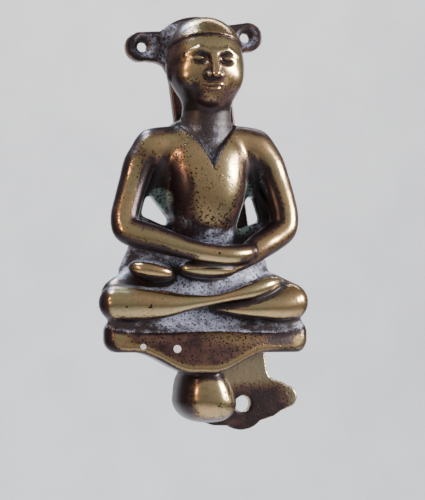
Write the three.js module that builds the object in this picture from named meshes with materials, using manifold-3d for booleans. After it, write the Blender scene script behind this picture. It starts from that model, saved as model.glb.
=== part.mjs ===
// Seated buddha door knocker in cast brass, with its plinth, striker knob, backplate and hinge pin.
// Millimetres, +Z up, the figure facing -Y. The origin is on the backplate's rear face, straight
// behind the middle of the hinge pin. At rest the figure hangs plumb on its loose hinge and the
// backplate lies turned in its own plane, as in the photograph.
//
// The figure is one smooth casting. Its form is a field of signed distances, made of rounded limbs,
// ellipsoids and bars that melt together, and the surface where the field is zero is cut into
// tetrahedra and then thinned to few triangles. Places in the field are written [x, f, z], where
// f is the distance forward from the door, so a point of the object is (x, -f, z).

import * as THREE from 'three';
import { mergeVertices } from 'three/addons/utils/BufferGeometryUtils.js';
import Module from 'manifold-3d';

// Sizes of the backplate; its outline is drawn as [x, z] on the right-hand side and mirrored
const PLATE_THICK = 2.8;
const PLATE_SKEW = THREE.MathUtils.degToRad(7.6);
const ARCH_TOP = 6.2;
const ARCH_R = 14.3;
const ARCH_HALF = 8.6;
const EAR_SPAN = 28.0;
const EAR_R = 3.6;
const EAR_TURN = [1.75, -1.8];
const EAR_TO_BAR = [[10.2, -4.2], [8.65, -5.2], [7.85, -7.2], [7.55, -9.6]];
const FOOT_Z = -91.2;
const BAR_TO_LOBE = [[7.55, 7.2], [8.05, 5.8], [9.25, 4.7], [11.15, 3.9]];
const LOBE = { x: 11.8, z: 0.2, r: 2.7, turn: [1.25, -1.5] };
const LOBE_TO_FOOT = [[9.8, -3.1], [7.8, -4.1]];
const FOOT_R = 6.3;
const FOOT_TURN = [-0.84, -Math.PI / 2];
const FOOT_HOLE_X = 0.35;
const FOOT_HOLE_R = 2.0;
const FOOT_HOLE_RIM = 0.4;
const SCREW_SPAN = 26.8;
const SCREW_R = 1.2;
const SINK_R = 2.2;
const SINK_DEEP = 1.4;
const CIRCLE_STEPS = 28;

// Sizes of the hinge
const PIN_F = 6.5;
const PIN_R = 1.0;
const PIN_HALF = 6.0;
const PLATE_LUG_R = 2.15;
const PLATE_LUG_NEAR = 3.3;
const PLATE_LUG_THICK = 2.2;
const PLATE_LUG_HOLE_R = 1.08;
const FIGURE_LUG_R = 2.2;
const FIGURE_LUG_HALF = 2.5;
const FIGURE_LUG_HOLE_R = 1.5;
const LUG_ROOT = 12.5;

// Sizes of the figure's back
const BACK_F = 4.6;
const HEAD_BACK_F = 9.3;
const HEAD_FOOT_Z = -17.5;
const STRIKER_F = 3.1;

// Head: centres and half-sizes of the skull, jaw, hair cap and ears
const SKULL = { at: [0, 12.3, -6.4], half: [9.25, 9.2, 10.1] };
const JAW = { at: [0.3, 13.4, -10.3], half: [8.6, 7.7, 7.8] };
const CAP_PROUD = 0.42;
const HAIRLINE_Z = -1.1;
const HAIRLINE_F = 21;
const HAIRLINE_FALL = 0.22;
const HAIRLINE_ARCH = 0.010;
const EAR_LOBE = { at: [8.7, 12.2, -8.0], half: [1.0, 2.1, 3.9] };

// Face, by halves and thirds of the head's height
const EYE_Z = -7.4;
const EYE_X = 3.55;
const BROW_Z = -5.3;
const NOSE_Z = -11.2;
const MOUTH_Z = -13.9;
const CHIN_Z = -16.6;
const FACE_MASSES = [[[0, 19.0, MOUTH_Z], [3.3, 1.5, 2.4], 1.6],
  [[0, 17.6, CHIN_Z + 0.2], [2.9, 2.1, 1.7], 1.8], [[4.6, 16.6, -11.2], [3.0, 2.6, 3.0], 1.8]];
const EYE_SOCKET = [[EYE_X, 22.3, EYE_Z + 0.1], [2.7, 2.3, 1.7]];
const BROW = [[1.2, 21.1, BROW_Z - 0.5, 0.5], [3.4, 20.65, BROW_Z + 0.3, 0.5],
  [6.3, 18.7, BROW_Z - 1.0, 0.4]];
const NOSE = [[0, 21.0, BROW_Z - 0.5, 0.75], [0, 21.9, -8.8, 0.85], [0, 22.6, NOSE_Z, 1.1]];
const FEATURES = [[[EYE_X, 19.0, EYE_Z + 0.2], [2.25, 1.75, 1.15], 0.25],
  [[EYE_X, 18.9, EYE_Z - 0.95], [1.85, 1.45, 0.65], 0.12],
  [[1.35, 21.5, NOSE_Z - 0.2], [0.9, 1.1, 0.8], 0.5],
  [[0.9, 20.3, MOUTH_Z + 0.42], [1.6, 0.85, 0.5], 0.2],
  [[0, 20.2, MOUTH_Z - 0.58], [1.9, 1.0, 0.62], 0.12], [EAR_LOBE.at, EAR_LOBE.half, 0.7]];

// Surface of the figure: grid steps, number of triangles, and how much more the face and the
// robe's V count than the rest when triangles are saved
const STEP_FINE = 0.5;
const STEP_WIDE = 0.85;
const STEP_F = 0.65;
const FIGURE_TRIANGLES = 8100;
const FACE_CARE = 9;
const ROBE_CARE = 4;
const ROBE_HALF = 9;
const FACE_BACK_F = 14;
const CRISP = 0.06;
const FLATTEST = 0.06;
const LEAST_TURN = 0.3;

// Limbs as [x, f, z, radius] along their middle lines; viewer's left and right
const NECK = [[0.7, 11.8, -14, 6.0], [0.7, 10.8, -20, 6.0], [0.7, 10.0, -24.5, 6.5],
  [0.6, 9.5, -29, 6.5]];
const SHOULDERS = [[-12.6, 10.6, -27.7, 3.7], [-7.6, 10.8, -26.4, 3.8], [0.4, 11.0, -26.4, 4.4],
  [8.0, 10.8, -25.8, 3.8], [12.9, 10.6, -27.0, 3.7]];
const ARM_LEFT = [[-12.4, 10.6, -28.2, 4.0], [-15.7, 11.0, -31.6, 3.8], [-17.5, 11.3, -36.5, 3.4],
  [-18.9, 11.9, -41.0, 3.25], [-19.9, 12.5, -45.2, 3.25], [-19.5, 13.3, -47.9, 3.3],
  [-16.8, 14.6, -49.3, 3.25], [-13.3, 16.4, -50.3, 3.05], [-9.3, 18.0, -51.7, 2.7],
  [-5.0, 19.3, -53.0, 2.4], [0.0, 20.0, -53.9, 2.2], [4.3, 19.8, -54.1, 2.25],
  [8.0, 18.5, -53.7, 2.2], [9.8, 17.3, -53.0, 1.75]];
const ARM_RIGHT = [[12.7, 10.6, -27.5, 4.0], [15.9, 11.0, -30.6, 3.8], [18.0, 11.3, -35.5, 3.45],
  [19.3, 11.9, -40.0, 3.3], [20.0, 12.5, -44.2, 3.25], [19.5, 13.0, -47.2, 3.2],
  [16.6, 14.0, -49.6, 3.1], [13.4, 15.2, -51.5, 3.0], [10.8, 16.0, -53.2, 2.7],
  [7.5, 16.4, -55.2, 2.3], [4.0, 16.6, -56.6, 1.8]];
const LEG_LEFT = [[-21.8, 13.2, -65.6, 4.4], [-17.0, 15.3, -65.7, 4.1], [-12.0, 16.9, -65.9, 3.45],
  [-8.6, 17.7, -65.8, 2.65], [-5.5, 18.2, -65.5, 1.95], [1.0, 18.5, -64.7, 1.15],
  [4.6, 18.3, -63.9, 1.3], [7.8, 17.8, -63.1, 1.7], [11.2, 16.9, -62.2, 2.1],
  [14.4, 15.7, -61.1, 2.3], [16.4, 14.8, -60.6, 1.9]];
const LEG_RIGHT = [[21.2, 12.7, -65.1, 4.7], [18.3, 14.0, -65.9, 4.0], [14.0, 15.1, -66.4, 3.0],
  [10.0, 15.6, -66.8, 2.1], [6.5, 15.4, -66.9, 1.4], [2.5, 14.4, -66.7, 0.8]];
const THIGH_LEFT = [[-10, 8.0, -59.5, 3.0], [-17.5, 8.2, -61.0, 3.8], [-20.9, 9.4, -63.6, 4.0]];
const THIGH_RIGHT = [[10, 8.0, -59.8, 3.0], [17.3, 8.4, -61.5, 3.7], [21.4, 9.6, -64.0, 4.1]];

// Chest, from the throat down: [z, middle x, half-width, furthest forward]; its power makes the
// section a little squarer than an ellipse
const CHEST_F = 6.5;
const CHEST_POWER = 2.35;
const CHEST = [[-20.5, 0.3, 6.5, 14.0], [-24.5, 0.3, 10.0, 16.3], [-28, 0.3, 11.4, 17.9],
  [-31.5, 0.3, 11.4, 18.8], [-35.5, 0.5, 10.9, 19.1], [-39.5, 0.6, 10.2, 18.8],
  [-43, 0.6, 9.3, 18.0], [-46, 0.5, 8.6, 16.9], [-49, 0.5, 7.9, 15.3], [-53, 0.5, 7.0, 12.6]];
const NECK_V = { x: 0.5, z: -33.5, spread: 0.36, flare: 0.026, deep: 1.5, nearest: 11 };

// Web at the back, its arm openings as rounded triangles in x and z, and the lap behind the legs
const WEB_TOP = [[-12.0, -29.0], [13.0, -28.3], [18.3, -45], [-17.3, -45]];
const WEB_TOP_R = 3.4;
const WEB_LOW = [[-14.5, -50], [14.5, -50], [14.5, -62], [-17.4, -62], [-17.4, -57.5],
  [-15.6, -53.5]];
const WEB_LOW_R = 2.4;
const WEB_FRONT_F = 7.6;
const WEB_RISE = { most: 4.6, from: -42, to: -30 };
const OPENING_LEFT = [[-12.6, -40.6], [-13.3, -43.4], [-9.0, -45.2]];
const OPENING_RIGHT = [[12.9, -40.2], [14.2, -44.3], [10.2, -45.8]];
const OPENING_R = 1.15;
const LAP = { at: [-0.5, 6.6, -59.0], half: [18.0, 6.8, 7.4] };
const HAND = { at: [-0.4, 16.2, -57.5], half: [7.2, 4.0, 2.4], roll: -0.02 };
const HEEL = { at: [-13.6, 14.4, -57.9], half: [5.8, 4.4, 2.7], roll: -0.17 };
const SEAT = { at: [1.0, 8.0, -67.0], half: [23.4, 5.2, 6.6], round: 3.4 };

// Plinth with its pointed apron, and the striker knob
const PLINTH = { x: 0.85, half: 25.35, top: -71.3, low: -77.4, round: 3.0, waist: 1.8, bevel: 2.4 };
const PLINTH_RISE = 1.7;
const BEVEL_FADE = 1.5;
const PLINTH_FRONT = 17.2;
const PLINTH_BOW = 3.6;
const UNDERCUT = 0.92;
const APRON = { x: -1.4, deep: 5.1, near: 2.4, far: 16.3, lip: 6.0 };
const KNOB = { at: [1.3, 4.2, -88.5], half: [7.6, 12.0, 6.1], rise: 11, taper: 0.026, lean: -0.14,
  power: 2.7 };
const STRIKER_TOP = [-84.5, -82];

// Colours of the brass
const BRASS = { color: 0x8a6f45, roughness: 0.38, metalness: 0.9 };
const OLD_BRASS = { color: 0x5f4a3a, roughness: 0.5, metalness: 0.8 };
const PIN_METAL = { color: 0x6b5a45, roughness: 0.5, metalness: 0.85 };

const { max, min, abs, hypot, sign, cos, sin, floor } = Math;
const { smoothstep } = THREE.MathUtils;

// Smaller of two distances with a fillet of size k between them
function melt(a, b, k) {
  const h = max(k - abs(a - b), 0) / k;
  return min(a, b) - h * h * k * 0.25;
}

// Larger of two distances with a rounding of size k between them
function ease(a, b, k) {
  return -melt(-a, -b, k);
}

function ellipsoid(x, f, z, at, half) {
  const a = (x - at[0]) / half[0];
  const b = (f - at[1]) / half[1];
  const c = (z - at[2]) / half[2];
  const k0 = hypot(a, b, c);
  const k1 = hypot(a / half[0], b / half[1], c / half[2]);
  return k1 > 1e-9 ? k0 * (k0 - 1) / k1 : -min(...half);
}

// Ellipsoid turned in the plane of the front by its roll
function turned(x, f, z, form) {
  const c = cos(form.roll);
  const s = sin(form.roll);
  const dx = x - form.at[0];
  const dz = z - form.at[2];
  const at = [0, form.at[1], 0];
  return ellipsoid(dx * c + dz * s, f, dz * c - dx * s, at, form.half);
}

// Limb as a chain of tapered rods, each point [x, f, z, radius]
function limb(x, f, z, line) {
  let best = Infinity;
  for (let i = 1; i < line.length; i += 1) {
    const a = line[i - 1];
    const b = line[i];
    const e = [b[0] - a[0], b[1] - a[1], b[2] - a[2]];
    const p = [x - a[0], f - a[1], z - a[2]];
    const along = (p[0] * e[0] + p[1] * e[1] + p[2] * e[2]) / (e[0] ** 2 + e[1] ** 2 + e[2] ** 2);
    const t = min(1, max(0, along));
    const far = hypot(p[0] - t * e[0], p[1] - t * e[1], p[2] - t * e[2]);
    best = min(best, far - a[3] - t * (b[3] - a[3]));
  }
  return best;
}

// Finer chain through the given stations, smoothed by a curve
function smoothLine(stations, pieces) {
  const route = new THREE.CatmullRomCurve3(stations.map((s) => new THREE.Vector3(s[0], s[1], s[2])));
  const girth = new THREE.CatmullRomCurve3(stations.map((s) => new THREE.Vector3(s[3], 0, 0)));
  return Array.from({ length: pieces + 1 }, (_, i) => {
    const p = route.getPoint(i / pieces);
    return [p.x, p.y, p.z, girth.getPoint(i / pieces).x];
  });
}

// Value of each column of a table at height z, eased between its rows
function atHeight(table, z) {
  if (z >= table[0][0]) return table[0];
  for (let i = 1; i < table.length; i += 1) {
    if (z >= table[i][0]) {
      const t = (table[i - 1][0] - z) / (table[i - 1][0] - table[i][0]);
      return table[i].map((v, k) => table[i - 1][k] + t * (v - table[i - 1][k]));
    }
  }
  return table[table.length - 1];
}

// Distance in a plane to a triangle or other convex outline, minus inside
function outline2(x, z, corners) {
  let nearest = Infinity;
  let inside = true;
  let turn = 0;
  for (let i = 0; i < corners.length; i += 1) {
    const [ax, az] = corners[i];
    const [bx, bz] = corners[(i + 1) % corners.length];
    const ex = bx - ax;
    const ez = bz - az;
    const px = x - ax;
    const pz = z - az;
    const t = min(1, max(0, (px * ex + pz * ez) / (ex * ex + ez * ez)));
    nearest = min(nearest, hypot(px - t * ex, pz - t * ez));
    const side = sign(ex * pz - ez * px);
    if (turn === 0) turn = side;
    if (side !== turn) inside = false;
  }
  return inside ? -nearest : nearest;
}

// Slab of a flat outline between the back and a front, with rounded front edges
function slab(flat, f, front, round) {
  const a = flat + round;
  const b = f - front + round;
  return min(max(a, b), 0) + hypot(max(a, 0), max(b, 0)) - round;
}

const FINE = {
  neck: smoothLine(NECK, 6),
  shoulders: smoothLine(SHOULDERS, 10),
  armLeft: smoothLine(ARM_LEFT, 30),
  armRight: smoothLine(ARM_RIGHT, 24),
  legLeft: smoothLine(LEG_LEFT, 26),
  legRight: smoothLine(LEG_RIGHT, 16),
  chest: smoothRows(CHEST, 30),
};

function smoothRows(rows, pieces) {
  const spread = new THREE.CatmullRomCurve3(rows.map((r) => new THREE.Vector3(r[1], r[2], r[3])));
  const height = new THREE.CatmullRomCurve3(rows.map((r) => new THREE.Vector3(r[0], 0, 0)));
  return Array.from({ length: pieces + 1 }, (_, i) => {
    const p = spread.getPoint(i / pieces);
    return [height.getPoint(i / pieces).x, p.x, p.y, p.z];
  });
}

// Distance to a rounded block between a ball and a box, from places and half-sizes about its middle
function block(places, halves, power) {
  const share = places.map((v, i) => abs(v) / halves[i]);
  const far = max(share.reduce((sum, v) => sum + v ** power, 0) ** (1 / power), 0.2);
  const steep = hypot(...share.map((v, i) => v ** (power - 1) / halves[i])) * far ** (1 - power);
  return (far - 1) / max(steep, 0.02);
}

// Chest and belly, narrower downwards, with the robe's V laid open at the throat
function chest(x, f, z) {
  const [, middle, half, front] = atHeight(FINE.chest, z);
  let d = block([x - middle, f - CHEST_F], [half, front - CHEST_F], CHEST_POWER);
  const ends = max(z - CHEST[0][0], CHEST[CHEST.length - 1][0] - z);
  d = melt(ease(d, ends, 2.0), limb(x, f, z, FINE.shoulders), 1.6);
  const rise = max(0, z - NECK_V.z);
  const v = 0.85 * (NECK_V.spread * rise + NECK_V.flare * rise * rise - abs(x - NECK_V.x));
  const laid = rise > 0 && f > NECK_V.nearest ? v : -1;
  return max(d, min(laid, d + NECK_V.deep));
}

function web(x, f, z) {
  const top = outline2(x, z, WEB_TOP) - WEB_TOP_R;
  const low = outline2(x, z, WEB_LOW) - WEB_LOW_R;
  const front = WEB_FRONT_F + WEB_RISE.most * smoothstep(z, WEB_RISE.from, WEB_RISE.to);
  return slab(melt(top, low, 3), f, front, 0.9);
}

function opening(x, z) {
  return min(outline2(x, z, OPENING_LEFT), outline2(x, z, OPENING_RIGHT)) - OPENING_R;
}

function seat(x, f, z) {
  const r = SEAT.round;
  const q = [0, 1, 2].map((i) => abs([x, f, z][i] - SEAT.at[i]) - SEAT.half[i] + r);
  return hypot(...q.map((v) => max(v, 0))) + min(max(...q), 0) - r;
}

function plinth(x, f, z) {
  const fore = min(1, max(0, (f - BACK_F) / APRON.lip));
  const off = abs(x - PLINTH.x);
  const hang = 1 - smoothstep(abs(x - APRON.x), APRON.near, APRON.far);
  const top = PLINTH.top + PLINTH_RISE * (off / PLINTH.half) ** 4;
  const low = PLINTH.low - APRON.deep * hang * smoothstep(fore, 0, 1);
  const side = off + PLINTH.waist * (1 - fore) ** 2;
  const a = side - PLINTH.half + PLINTH.round;
  const b = max(z - top, (low - z) * UNDERCUT) + PLINTH.round;
  const flat = min(max(a, b), 0) + hypot(max(a, 0), max(b, 0)) - PLINTH.round;
  const front = PLINTH_FRONT - PLINTH_BOW * (side / PLINTH.half) ** 2;
  const fade = BEVEL_FADE * (off / PLINTH.half) ** 6;
  const bevel = Math.SQRT1_2 * (z - top + PLINTH.bevel + f - front) - fade;
  return ease(slab(flat, f, front, 1.3), bevel, 1.6);
}

// Striker knob, narrower at the top and leaning a little, with its flat striking face at the back
function knob(x, f, z) {
  const up = z - KNOB.at[2];
  const swell = min(1, max(0.6, 1 - KNOB.taper * (up + 1)));
  const halves = [KNOB.half[0] * swell, KNOB.half[1], up > 0 ? KNOB.rise : KNOB.half[2]];
  const back = STRIKER_F + (BACK_F - STRIKER_F) * smoothstep(z, ...STRIKER_TOP);
  const round = block([x - KNOB.at[0] - KNOB.lean * up, f - KNOB.at[1], up], halves, KNOB.power);
  return max(round, back - f);
}

function head(x, f, z) {
  const side = abs(x);
  const swell = (d, forms) => forms.reduce(
    (sum, [at, half, k]) => melt(sum, ellipsoid(side, f, z, at, half), k),
    d,
  );
  const skull = ellipsoid(x, f, z, SKULL.at, SKULL.half);
  let d = melt(skull, ellipsoid(x, f, z, JAW.at, JAW.half), 2.5);
  d = swell(d, FACE_MASSES);
  d = ease(d, -ellipsoid(side, f, z, ...EYE_SOCKET), 0.9);
  d = melt(d, limb(side, f, z, BROW), 0.7);
  d = melt(d, limb(side, f, z, NOSE), 0.9);
  d = swell(d, FEATURES);
  // Smooth cap of hair, proud of the brow and falling behind the ears
  const line = z - HAIRLINE_Z + HAIRLINE_FALL * (HAIRLINE_F - f) + HAIRLINE_ARCH * x * x;
  return melt(d, ease(skull - CAP_PROUD, -line, 0.35), 0.12);
}

function body(x, f, z) {
  const armLeft = limb(x, f, z, FINE.armLeft);
  const armRight = limb(x, f, z, FINE.armRight);
  let d = melt(web(x, f, z), min(armLeft, armRight), 3.0);
  d = melt(d, chest(x, f, z), 3.0);
  d = melt(d, max(limb(x, f, z, FINE.neck), z - HEAD_FOOT_Z), 1.2);
  d = melt(d, ellipsoid(x, f, z, LAP.at, LAP.half), 2.4);
  d = melt(d, armRight, 1.2);
  d = melt(d, seat(x, f, z), 1.6);
  d = melt(d, limb(x, f, z, THIGH_LEFT), 1.2);
  d = melt(d, limb(x, f, z, THIGH_RIGHT), 1.2);
  d = melt(d, turned(x, f, z, HAND), 0.8);
  d = melt(d, turned(x, f, z, HEEL), 0.8);
  d = melt(d, armLeft, 0.9);
  d = melt(d, limb(x, f, z, FINE.legRight), 1.2);
  d = melt(d, limb(x, f, z, FINE.legLeft), 0.8);
  d = melt(d, plinth(x, f, z), 2.6);
  d = ease(d, -opening(x, z), 0.9);
  return max(d, BACK_F - f);
}

// The whole figure with its plinth and knob, without the hinge lug
function figure(x, f, z) {
  let d = 1e3;
  if (z > -24) {
    d = max(melt(head(x, f, z), limb(x, f, z, FINE.neck), 2.0), HEAD_BACK_F - f);
  }
  if (z > -90 && z < -10) d = min(d, body(x, f, z));
  return z < -78 ? melt(d, knob(x, f, z), 0.5) : d;
}

// Surface of a field: every cell of the grid is cut into six tetrahedra, so the skin is closed
const CELL = [[0, 0, 0], [1, 0, 0], [1, 1, 0], [0, 1, 0], [0, 0, 1], [1, 0, 1], [1, 1, 1],
  [0, 1, 1]];
const TETS = [[0, 1, 2, 6], [0, 2, 3, 6], [0, 3, 7, 6], [0, 7, 4, 6], [0, 4, 5, 6], [0, 5, 1, 6]];
const STEPS = {
  x: gridLine([[-27.5, STEP_WIDE], [-10.2, STEP_FINE], [10.2, STEP_WIDE], [27.9]]),
  f: gridLine([[1.6, STEP_F], [24.6]]),
  z: gridLine([[-96.4, STEP_WIDE], [-34.6, STEP_FINE], [5.6]]),
};

function gridLine(stretches) {
  const marks = [];
  for (let i = 0; i + 1 < stretches.length; i += 1) {
    const [from, step] = stretches[i];
    const to = stretches[i + 1][0];
    const count = Math.round((to - from) / step);
    for (let k = 0; k < count; k += 1) marks.push(from + (to - from) * k / count);
  }
  marks.push(stretches[stretches.length - 1][0]);
  return marks;
}

function skin(field, grid) {
  const [nx, nf, nz] = [grid.x.length, grid.f.length, grid.z.length];
  const value = new Float64Array(nx * nf * nz);
  const index = (i, j, k) => (k * nf + j) * nx + i;
  for (let k = 0; k < nz; k += 1) {
    for (let j = 0; j < nf; j += 1) {
      for (let i = 0; i < nx; i += 1) {
        value[index(i, j, k)] = field(grid.x[i], grid.f[j], grid.z[k]);
      }
    }
  }
  const place = (n) => {
    const i = n % nx;
    const j = floor(n / nx) % nf;
    return [grid.x[i], grid.f[j], grid.z[floor(n / (nx * nf))]];
  };
  const points = [];
  const made = new Map();
  const between = (a, b) => {
    const key = a < b ? a * value.length + b : b * value.length + a;
    if (made.has(key)) return made.get(key);
    const t = min(1 - CRISP, max(CRISP, value[a] / (value[a] - value[b])));
    const pa = place(a);
    const pb = place(b);
    points.push(pa.map((v, m) => v + t * (pb[m] - v)));
    made.set(key, points.length - 1);
    return points.length - 1;
  };
  const faces = [];
  const split = (four) => {
    const low = four.filter((n) => value[n] < 0);
    const high = four.filter((n) => value[n] >= 0);
    if (low.length === 0 || high.length === 0) return;
    const quad = low.length === 2
      ? [[0, 0], [0, 1], [1, 1], [1, 0]].map(([m, n]) => between(low[m], high[n]))
      : low.flatMap((m) => high.map((n) => between(m, n)));
    const outward = middle(high.map(place)).sub(middle(low.map(place)));
    for (let m = 1; m + 1 < quad.length; m += 1) {
      const tri = [quad[0], quad[m], quad[m + 1]];
      if (facing(tri.map((n) => points[n])).dot(outward) < 0) tri.reverse();
      faces.push(tri);
    }
  };
  for (let k = 0; k + 1 < nz; k += 1) {
    for (let j = 0; j + 1 < nf; j += 1) {
      for (let i = 0; i + 1 < nx; i += 1) {
        const at = CELL.map(([a, b, c]) => index(i + a, j + b, k + c));
        const inside = at.filter((n) => value[n] < 0).length;
        if (inside > 0 && inside < at.length) TETS.forEach((tet) => split(tet.map((n) => at[n])));
      }
    }
  }
  return { points, faces };
}

function middle(places) {
  const sum = new THREE.Vector3();
  for (const p of places) sum.add(new THREE.Vector3(...p));
  return sum.divideScalar(places.length);
}

function facing([a, b, c]) {
  const p = new THREE.Vector3(...a);
  return new THREE.Vector3(...b).sub(p).cross(new THREE.Vector3(...c).sub(p));
}

function apart(a, b) {
  return hypot(a[0] - b[0], a[1] - b[1], a[2] - b[2]);
}

// Queue that gives back its cheapest item first
class Queue {
  constructor() {
    this.items = [];
  }

  swap(i, j) {
    [this.items[i], this.items[j]] = [this.items[j], this.items[i]];
  }

  push(item) {
    this.items.push(item);
    let i = this.items.length - 1;
    while (i > 0 && this.items[(i - 1) >> 1].value > this.items[i].value) {
      this.swap(i, (i - 1) >> 1);
      i = (i - 1) >> 1;
    }
  }

  pop() {
    this.swap(0, this.items.length - 1);
    const top = this.items.pop();
    let i = 0;
    let least = this.lowest(i);
    while (least !== i) {
      this.swap(i, least);
      i = least;
      least = this.lowest(i);
    }
    return top;
  }

  lowest(i) {
    const near = [i, 2 * i + 1, 2 * i + 2].filter((k) => k < this.items.length);
    return near.reduce((m, k) => (this.items[k].value < this.items[m].value ? k : m), i);
  }
}

// Pairs of rows and columns of a plane's squared distance, upper half only
const PAIRS = [0, 1, 2, 3].flatMap((i) => [0, 1, 2, 3].filter((j) => j >= i).map((j) => [i, j]));

function quadricOf(tri, weight) {
  const normal = facing(tri);
  const area = normal.length();
  if (area < 1e-12) return new Float64Array(PAIRS.length);
  normal.divideScalar(area);
  const e = [normal.x, normal.y, normal.z, -normal.dot(new THREE.Vector3(...tri[0]))];
  return Float64Array.from(PAIRS, ([i, j]) => area * weight * e[i] * e[j]);
}

function misfit(q, p) {
  const h = [p[0], p[1], p[2], 1];
  return PAIRS.reduce((sum, [i, j], m) => sum + (i === j ? 1 : 2) * q[m] * h[i] * h[j], 0);
}

// Where two joined points fit the skin around them best, and how far off they then are
function bestPlace(q, pa, pb) {
  const mid = pa.map((v, k) => (v + pb[k]) / 2);
  const size = apart(pa, pb);
  const matrix = new THREE.Matrix3().set(q[0], q[1], q[2], q[1], q[4], q[5], q[2], q[5], q[7]);
  const choices = [mid, pa, pb];
  if (abs(matrix.determinant()) > 1e-7 * (q[0] + q[4] + q[7]) ** 3) {
    const free = new THREE.Vector3(-q[3], -q[6], -q[8]).applyMatrix3(matrix.invert()).toArray();
    if (apart(free, mid) < 1.5 * size) choices.unshift(free);
  }
  const rated = choices.map((p) => ({ p, q, value: max(0, misfit(q, p)) + 1e-6 * size * size }));
  return rated.reduce((a, b) => (b.value < a.value ? b : a));
}

// Thins a closed skin by closing up its least needed edges, keeping it closed and unfolded
function thin({ points, faces }, target, care) {
  const around = points.map(() => new Set());
  const quadric = points.map(() => new Float64Array(PAIRS.length));
  const alive = faces.map(() => true);
  const version = new Int32Array(points.length);
  faces.forEach((tri, n) => {
    const own = quadricOf(tri.map((v) => points[v]), care(points[tri[0]]));
    for (const v of tri) {
      around[v].add(n);
      own.forEach((value, k) => { quadric[v][k] += value; });
    }
  });
  const queue = new Queue();
  const offer = (a, b) => {
    const q = quadric[a].map((v, k) => v + quadric[b][k]);
    queue.push({ ...bestPlace(q, points[a], points[b]), a, b, va: version[a], vb: version[b] });
  };
  const neighbours = (v) => {
    const near = new Set([...around[v]].flatMap((n) => faces[n]));
    near.delete(v);
    return near;
  };
  for (const tri of faces) {
    tri.forEach((u, k) => {
      const v = tri[(k + 1) % 3];
      if (u < v) offer(u, v);
    });
  }
  const spoilt = (tri, v, p) => {
    const before = tri.map((w) => points[w]);
    const after = tri.map((w) => (w === v ? p : points[w]));
    const old = facing(before);
    const now = facing(after);
    const longest = max(...after.map((c, k) => apart(c, after[(k + 1) % 3])));
    if (now.length() < max(1e-4, FLATTEST * longest ** 2)) return true;
    return old.length() > 1e-4 && old.dot(now) < LEAST_TURN * old.length() * now.length();
  };
  const folds = (a, b, p) => [a, b].some((v) => [...around[v]].some((n) => {
    const tri = faces[n];
    return !(tri.includes(a) && tri.includes(b)) && spoilt(tri, v, p);
  }));
  let left = faces.length;
  while (left > target && queue.items.length > 0) {
    const { a, b, va, vb, p, q } = queue.pop();
    if (version[a] !== va || version[b] !== vb) continue;
    const na = neighbours(a);
    const shared = [...neighbours(b)].filter((v) => na.has(v));
    if (!na.has(b) || shared.length !== 2 || folds(a, b, p)) continue;
    for (const n of [...around[b]]) {
      const tri = faces[n];
      if (tri.includes(a)) {
        alive[n] = false;
        left -= 1;
        tri.forEach((v) => around[v].delete(n));
      } else {
        tri[tri.indexOf(b)] = a;
        around[a].add(n);
      }
    }
    around[b].clear();
    points[a] = p;
    quadric[a] = q;
    version[a] += 1;
    version[b] = -1;
    for (const v of neighbours(a)) offer(min(a, v), max(a, v));
  }
  return { points, faces: faces.filter((_, n) => alive[n]) };
}

const wasm = await Module();
wasm.setup();

// Closed solid for cutting and joining, from a geometry
function solid(geometry) {
  const bare = geometry.index ? geometry.toNonIndexed() : geometry.clone();
  bare.deleteAttribute('normal');
  bare.deleteAttribute('uv');
  const whole = mergeVertices(bare, 1e-5);
  return new wasm.Manifold(new wasm.Mesh({
    numProp: 3,
    vertProperties: new Float32Array(whole.attributes.position.array),
    triVerts: new Uint32Array(whole.index.array),
  }));
}

function geometryOf(body) {
  const mesh = body.getMesh();
  const geometry = new THREE.BufferGeometry();
  const stride = mesh.numProp;
  const count = mesh.vertProperties.length / stride;
  const places = new Float32Array(count * 3);
  for (let i = 0; i < count; i += 1) {
    for (let k = 0; k < 3; k += 1) places[3 * i + k] = mesh.vertProperties[stride * i + k];
  }
  geometry.setAttribute('position', new THREE.BufferAttribute(places, 3));
  geometry.setIndex(new THREE.BufferAttribute(new Uint32Array(mesh.triVerts), 1));
  const faceted = geometry.toNonIndexed();
  faceted.computeVertexNormals();
  return faceted;
}

// Figure's skin as a geometry in the object's own axes, where forward is -Y
function skinGeometry({ points, faces }) {
  const used = new Map();
  const places = [];
  const order = [];
  for (const tri of faces) {
    for (const v of [tri[0], tri[2], tri[1]]) {
      if (!used.has(v)) {
        used.set(v, used.size);
        places.push(points[v][0], -points[v][1], points[v][2]);
      }
      order.push(used.get(v));
    }
  }
  const geometry = new THREE.BufferGeometry();
  geometry.setAttribute('position', new THREE.Float32BufferAttribute(places, 3));
  geometry.setIndex(order);
  return geometry;
}

// Round bar along X, its middle on the pin's line
function bar(radius, from, to, steps = CIRCLE_STEPS) {
  const geometry = new THREE.CylinderGeometry(radius, radius, to - from, steps);
  geometry.rotateZ(Math.PI / 2);
  geometry.translate((from + to) / 2, -PIN_F, 0);
  return geometry;
}

// Lug: a rounded tongue in side view from root to the pin's line, drawn as [forward, up]
function tongue(radius, root, from, to) {
  const shape = new THREE.Shape();
  const toward = root < PIN_F ? -1 : 1;
  const start = Math.PI / 2;
  shape.moveTo(root, radius);
  shape.lineTo(PIN_F, radius);
  shape.absarc(PIN_F, 0, radius, start, -start, toward < 0);
  shape.lineTo(root, -radius);
  shape.closePath();
  const geometry = new THREE.ExtrudeGeometry(shape, {
    depth: to - from, bevelEnabled: false, curveSegments: CIRCLE_STEPS / 2,
  });
  // The drawing's across becomes -Y, its up Z and its depth X
  geometry.applyMatrix4(new THREE.Matrix4().set(0, 0, 1, from, -1, 0, 0, 0, 0, 1, 0, 0, 0, 0, 0, 1));
  return fixWinding(geometry);
}

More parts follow.
